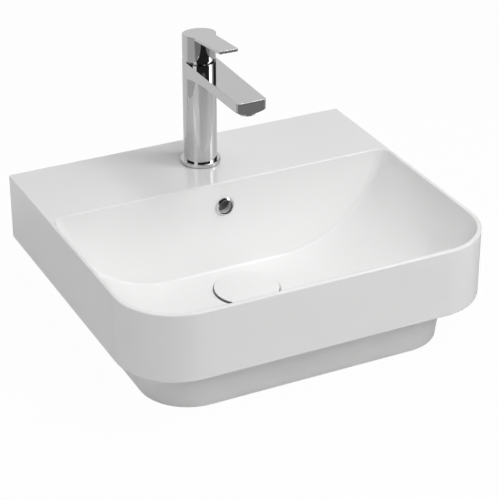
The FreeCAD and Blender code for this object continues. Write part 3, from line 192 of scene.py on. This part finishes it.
def glaze(name):
    """White sanitary glaze: a clear gloss over a slightly wavy fired surface."""
    material, tree, shader = new_material(name)
    vary_colour(tree, shader, object_noise(tree, GLAZE_DRIFT_SCALE), GLAZE_WHITE, GLAZE_DRIFT)
    gloss = spread(tree, object_noise(tree, GLAZE_ROUGHNESS_SCALE), *GLAZE_ROUGHNESS)
    tree.links.new(gloss, shader.inputs["Roughness"])
    shader.inputs["IOR"].default_value = GLAZE_IOR
    bump(tree, shader, object_noise(tree, GLAZE_WAVE_SCALE, WAVE_DETAIL), GLAZE_WAVE)
    return material


def grained(name, colour, drift, roughness, grain, relief, stretch=EVEN):
    """A material whose colour, gloss and relief follow one grain, and its main shader."""
    material, tree, shader = new_material(name)
    noise = object_noise(tree, grain, stretch=stretch)
    vary_colour(tree, shader, noise, colour, drift)
    tree.links.new(spread(tree, noise, *roughness), shader.inputs["Roughness"])
    bump(tree, shader, noise, relief)
    return material, shader


def metal(name, colour, roughness, grain, stretch=EVEN):
    """Bare or plated metal whose gloss wanders between two roughness values."""
    material, shader = grained(name, colour, METAL_DRIFT, roughness, grain, METAL_RELIEF, stretch)
    shader.inputs["Metallic"].default_value = 1.0
    return material


def moulded(name, colour, roughness, grain):
    """Rubber, plastic or unglazed ceramic with a fine moulded surface."""
    return grained(name, colour, MOULDED_DRIFT, roughness, grain, MOULDED_RELIEF)[0]


def make_finishes():
    """One finish for each material slot of the record."""
    return {
        "basin_glaze": glaze("basin_glaze"),
        "cover_glaze": glaze("cover_glaze"),
        "tap_chrome": metal("tap_chrome", CHROME_GREY, roughness=(0.02, 0.05), grain=40.0),
        "trim_chrome": metal("trim_chrome", CHROME_GREY, roughness=(0.03, 0.07), grain=60.0),
        "seal_rubber": moulded("seal_rubber", RUBBER_BLACK, roughness=(0.55, 0.75), grain=400.0),
        "brass": metal("machined_brass", BRASS_YELLOW, roughness=(0.18, 0.32), grain=500.0, stretch=TURNED),
        "steel": metal("drawn_steel", STEEL_GREY, roughness=(0.22, 0.36), grain=500.0, stretch=DRAWN),
        "disc_ceramic": moulded("disc_ceramic", DISC_CREAM, roughness=(0.25, 0.35), grain=300.0),
        "grey_plastic": moulded("grey_plastic", PLASTIC_GREY, roughness=(0.4, 0.55), grain=350.0),
        "plug_plastic": moulded("plug_plastic", PLUG_GREY, roughness=(0.18, 0.28), grain=350.0),
    }


def dress_nodes(finishes):
    """Give every CAD node the finish of its material slot."""
    slot_of = {part["node"]: part["material_slot"] for part in frame["record"]["subparts"]}
    for node, piece in frame["nodes"].items():
        for slot in piece.material_slots:
            slot.material = finishes[slot_of[node]]


def skin(name, rings, finish, ends=()):
    """Closed skin over rows of points that run round, facing outwards.

    The rows lie between two end points or, where there are none, the last row joins the first.
    """
    rows, columns = rings.shape[:2]
    points = np.concatenate((rings.reshape(-1, 3), np.reshape(ends, (-1, 3))))
    here = np.arange(rows * columns).reshape(rows, columns)
    if not ends:
        here = np.concatenate((here, here[:1]))
    beside = np.roll(here, -1, axis=1)
    corners = (here[:-1], here[1:], beside[1:], beside[:-1])
    faces = np.stack(corners, axis=-1).reshape(-1, 4).tolist()
    if ends:
        first = np.full(columns, rows * columns)
        last = first + 1
        faces += np.stack((first, here[0], beside[0]), axis=-1).tolist()
        faces += np.stack((last, beside[-1], here[-1]), axis=-1).tolist()
    mesh = bpy.data.meshes.new(name)
    mesh.from_pydata(points.tolist(), [], faces)
    mesh.polygons.foreach_set("use_smooth", np.ones(len(mesh.polygons), bool))
    mesh.set_sharp_from_angle(angle=math.radians(SHARP_EDGE_DEG))
    mesh.materials.append(finish)
    piece = bpy.data.objects.new(name, mesh)
    bpy.context.scene.collection.objects.link(piece)
    return piece


def arc(centre, radius, start_deg, end_deg):
    """Round stretch of a profile: centre + radius (cos a, sin a), with a from the start to the end."""
    angle = np.radians(np.linspace(start_deg, end_deg, ROUND_ROWS))
    return np.array(centre) + radius * np.stack((np.cos(angle), np.sin(angle)), axis=-1)


def swing(profile, columns):
    """A profile of (r, h) swung once round an axis, as the three arrays r cos u, r sin u and h."""
    turn = np.linspace(0.0, 2 * np.pi, columns, endpoint=False)
    radius, height = profile[:, :1], profile[:, 1:]
    return radius * np.cos(turn), radius * np.sin(turn), height + 0 * turn


def make_cap(finish):
    """The plug's cover, a profile swung round the plug's axis: (x, y, z) = (r cos u, r sin u, h).

    The top is h = edge + crown (1 - (r / R)^2), and the edge has two small quarter rounds. The underside
    rises from a flat ring to the edge in a straight cone, and a hollow takes the carrier's plate.
    """
    carrier_low, carrier_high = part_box("plug_carrier")
    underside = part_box("plug_cover")[0][2] + CAP_SEAT_GAP
    hollow = (carrier_high[0] - carrier_low[0]) / 2 + CAP_SIDE_GAP
    ceiling = carrier_high[2] + CAP_CEILING_GAP
    shoulder = CAP_RADIUS - CAP_EDGE_ROUND
    dome_radius = np.linspace(0.0, shoulder, CAP_DOME_ROWS)[1:-1]
    dome_height = CAP_EDGE_TOP + CAP_CROWN * (1 - (dome_radius / shoulder) ** 2)
    profile = np.concatenate((
        np.stack((dome_radius, dome_height), axis=-1),
        arc((shoulder, CAP_EDGE_TOP - CAP_EDGE_ROUND), CAP_EDGE_ROUND, 90.0, 0.0),
        arc((shoulder, CAP_EDGE_LOW + CAP_EDGE_ROUND), CAP_EDGE_ROUND, 0.0, -90.0),
        [(CAP_FLAT_RADIUS, underside), (hollow, underside), (hollow, ceiling)]))
    right, back, up = swing(profile, CAP_COLUMNS)
    rings = np.stack((PLUG_AXIS[0] + right, PLUG_AXIS[1] + back, up), axis=-1)
    cap = skin("plug_cap", rings, finish, ((*PLUG_AXIS, CAP_EDGE_TOP + CAP_CROWN), (*PLUG_AXIS, ceiling)))
    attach(cap, "plug")
    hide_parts("plug_cover")


def make_spring(finish):
    """The plug's spring, a wire circle carried along a helix: (R cos t, R sin t, low + rise t)."""
    low_corner, high_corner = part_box("plug_spring")
    low, high = low_corner[2] + WIRE_RADIUS, high_corner[2] - WIRE_RADIUS
    turn = np.linspace(0.0, 2 * np.pi * SPRING_TURNS, SPRING_TURNS * STATIONS_PER_TURN + 1)
    rise = (high - low) / turn[-1]
    right, back = SPRING_RADIUS * np.cos(turn), SPRING_RADIUS * np.sin(turn)
    path = np.stack((PLUG_AXIS[0] + right, PLUG_AXIS[1] + back, low + rise * turn), axis=-1)
    heading = np.stack((-back, right, rise + 0 * turn), axis=-1)
    heading /= np.linalg.norm(heading, axis=1, keepdims=True)
    outward = np.stack((np.cos(turn), np.sin(turn), 0 * turn), axis=-1)
    upward = np.cross(outward, heading)
    around = np.linspace(0.0, 2 * np.pi, WIRE_SIDES, endpoint=False)[None, :, None]
    circle = np.cos(around) * outward[:, None] + np.sin(around) * upward[:, None]
    rings = path[:, None] + WIRE_RADIUS * circle
    spring = skin("plug_coil", rings, finish, (path[0], path[-1]))
    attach(spring, "basin_unit")
    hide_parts("plug_spring")
    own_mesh(spring)


def make_bezel(finish):
    """The overflow's trim ring, a closed profile swung round the hole's axis: (r cos u, wall - h, r sin u).

    A rounded mouth, a straight cone down to a rounded foot on the wall, and a thin collar in the hole.
    """
    low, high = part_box("overflow_ring")
    axis_x, axis_z = (low[0] + high[0]) / 2, (low[2] + high[2]) / 2
    wall = low[1] + RING_LIP
    flange = (high[0] - low[0]) / 2
    mouth = np.array((BEZEL_MOUTH_RADIUS + BEZEL_ROUND, BEZEL_HEIGHT - BEZEL_ROUND))
    foot = np.array((flange - BEZEL_ROUND, BEZEL_FOOT))
    cone_deg = math.degrees(math.atan2(foot[0] - mouth[0], mouth[1] - foot[1]))
    profile = np.concatenate((
        arc(mouth, BEZEL_ROUND, 180.0, cone_deg),
        arc(foot, BEZEL_ROUND, cone_deg, 0.0),
        [(flange, 0.0), (COLLAR_RADIUS, 0.0)],
        [(COLLAR_RADIUS, -COLLAR_LENGTH), (BEZEL_MOUTH_RADIUS, -COLLAR_LENGTH)]))
    right, up, forward = swing(profile, BEZEL_COLUMNS)
    rings = np.stack((axis_x + right, wall - forward, axis_z + up), axis=-1)
    bezel = skin("overflow_bezel", rings, finish)
    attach(bezel, "basin_unit")
    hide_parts("overflow_ring")


def aim(obj, target):
    """Turn an object so that it looks at a point."""
    obj.rotation_euler = (Vector(target) - obj.location).to_track_quat("-Z", "Y").to_euler()


def make_camera():
    """The photograph's viewpoint and lens."""
    data = bpy.data.cameras.new("photo_camera")
    data.lens = CAMERA_LENS_MM
    data.sensor_width = SENSOR_MM
    data.clip_end = VIEW_DEPTH
    camera = bpy.data.objects.new("photo_camera", data)
    bpy.context.scene.collection.objects.link(camera)
    camera.location = CAMERA_AT
    aim(camera, CAMERA_TARGET)
    bpy.context.scene.camera = camera


def make_lamps():
    """Key lamps at the right and overhead, and soft boxes in front, on the left and behind.

    The boxes in front and on the left aren't mirrored: polished pieces show the windows there instead.
    """
    for name, place, target, side, watts, mirrored in LAMPS:
        data = bpy.data.lights.new(name, "AREA")
        data.shape = "SQUARE"
        data.size = side
        data.energy = watts
        lamp = bpy.data.objects.new(name, data)
        bpy.context.scene.collection.objects.link(lamp)
        lamp.location = place
        lamp.visible_glossy = mirrored
        aim(lamp, target)


def axes_of(tree, kind):
    """The X, Y and Z of one kind of texture coordinate."""
    where = tree.nodes.new("ShaderNodeTexCoord")
    axes = tree.nodes.new("ShaderNodeSeparateXYZ")
    tree.links.new(where.outputs[kind], axes.inputs["Vector"])
    return axes.outputs


def smooth_step(tree, source, low, high):
    """Nought below low, one above high, smooth between."""
    step = tree.nodes.new("ShaderNodeMapRange")
    step.interpolation_type = "SMOOTHSTEP"
    step.inputs["From Min"].default_value = low
    step.inputs["From Max"].default_value = high
    tree.links.new(source, step.inputs["Value"])
    return step.outputs["Result"]


def combine(tree, operation, first, second):
    """A Math node on two values, each a socket or a number."""
    node = tree.nodes.new("ShaderNodeMath")
    node.operation = operation
    for socket, term in zip(node.inputs, (first, second)):
        if isinstance(term, float):
            socket.default_value = term
        else:
            tree.links.new(term, socket)
    return node.outputs["Value"]


def mix_shaders(tree, share, first, second):
    """The first shader, or the second where the share is one."""
    mix = tree.nodes.new("ShaderNodeMixShader")
    tree.links.new(share, mix.inputs["Fac"])
    tree.links.new(first, mix.inputs[1])
    tree.links.new(second, mix.inputs[2])
    return mix.outputs["Shader"]


def mirroring(tree, rays):
    """One on a ray that a polished or clear piece sends on, and nought on others."""
    return combine(tree, "MAXIMUM", rays.outputs["Is Glossy Ray"], rays.outputs["Is Transmission Ray"])


def past_edge(tree, azimuth, edge_deg):
    """Nought before a window's edge and one past it, in degrees round the room."""
    half_width = WINDOW_EDGE_DEG / 2
    low, high = math.radians(edge_deg - half_width), math.radians(edge_deg + half_width)
    return smooth_step(tree, azimuth, low, high)


def mirrored_studio(tree):
    """Brightness of the studio by direction, as polished pieces mirror it."""
    direction = axes_of(tree, "Generated")
    azimuth = combine(tree, "ARCTAN2", direction["Y"], direction["X"])
    roof = smooth_step(tree, direction["Z"], ROOF_FROM, ROOF_TO)
    brightness = spread(tree, roof, MIRRORED_DARK, MIRRORED_WHITE)
    for start, end, level in WINDOWS:
        inside = combine(tree, "SUBTRACT", past_edge(tree, azimuth, start), past_edge(tree, azimuth, end))
        brightness = combine(tree, "MAXIMUM", brightness, combine(tree, "MULTIPLY", inside, level))
    return brightness


def make_world():
    """Even light on the object, the studio in its reflections, and plain white past it."""
    world = bpy.data.worlds.new("studio")
    bpy.context.scene.world = world
    world.use_nodes = True
    tree = world.node_tree
    light = tree.nodes["Background"]
    light.inputs["Color"].default_value = PLAIN_WHITE
    light.inputs["Strength"].default_value = WORLD_LIGHT
    seen = tree.nodes.new("ShaderNodeBackground")
    seen.inputs["Color"].default_value = PLAIN_WHITE
    mirrored = tree.nodes.new("ShaderNodeBackground")
    tree.links.new(mirrored_studio(tree), mirrored.inputs["Strength"])
    rays = tree.nodes.new("ShaderNodeLightPath")
    polished = mirroring(tree, rays)
    unseen = mix_shaders(tree, polished, light.outputs["Background"], mirrored.outputs["Background"])
    surface = mix_shaders(tree, rays.outputs["Is Camera Ray"], unseen, seen.outputs["Background"])
    tree.links.new(surface, tree.nodes["World Output"].inputs["Surface"])


def make_floor():
    """A pale counter that reads as white and keeps a soft shadow; polished pieces see a painted reflection
    on it, darker in front.
    """
    reach = COUNTER_REACH
    square = ((-reach, -reach), (reach, -reach), (reach, reach), (-reach, reach))
    mesh = bpy.data.meshes.new("counter")
    mesh.from_pydata([(*corner, COUNTER_LEVEL) for corner in square], [], [(0, 1, 2, 3)])
    floor = bpy.data.objects.new("counter", mesh)
    bpy.context.scene.collection.objects.link(floor)
    material, tree, shader = new_material("counter_white")
    shader.inputs["Base Color"].default_value = COUNTER_PALE
    shader.inputs["Roughness"].default_value = COUNTER_ROUGHNESS
    white = tree.nodes.new("ShaderNodeEmission")
    mirrored = tree.nodes.new("ShaderNodeEmission")
    # Painted reflection: an emission that only glossy rays see, dim in front, brighter beside and brightest
    # behind
    place = axes_of(tree, "Object")
    beside = smooth_step(tree, place["Y"], FRONT_EDGE_FROM, FRONT_EDGE_TO)
    behind = smooth_step(tree, place["Y"], BACK_EDGE_FROM, BACK_EDGE_TO)
    brightness = combine(tree, "ADD", spread(tree, beside, PAINTED_REFLECTION_FRONT, PAINTED_REFLECTION_SIDES),
                         spread(tree, behind, 0.0, PAINTED_REFLECTION_BACK - PAINTED_REFLECTION_SIDES))
    tree.links.new(brightness, mirrored.inputs["Strength"])
    rays = tree.nodes.new("ShaderNodeLightPath")
    polished = mirroring(tree, rays)
    seen = combine(tree, "MULTIPLY", rays.outputs["Is Camera Ray"], COUNTER_WHITE_SHARE)
    unseen = mix_shaders(tree, polished, shader.outputs["BSDF"], mirrored.outputs["Emission"])
    surface = mix_shaders(tree, seen, unseen, white.outputs["Emission"])
    tree.links.new(surface, tree.nodes["Material Output"].inputs["Surface"])
    mesh.materials.append(material)


finishes = make_finishes()
dress_nodes(finishes)
make_cap(finishes["cover_glaze"])
make_spring(finishes["steel"])
make_bezel(finishes["trim_chrome"])
make_camera()
make_lamps()
make_world()
make_floor()
bpy.context.scene.view_settings.view_transform = "Standard"
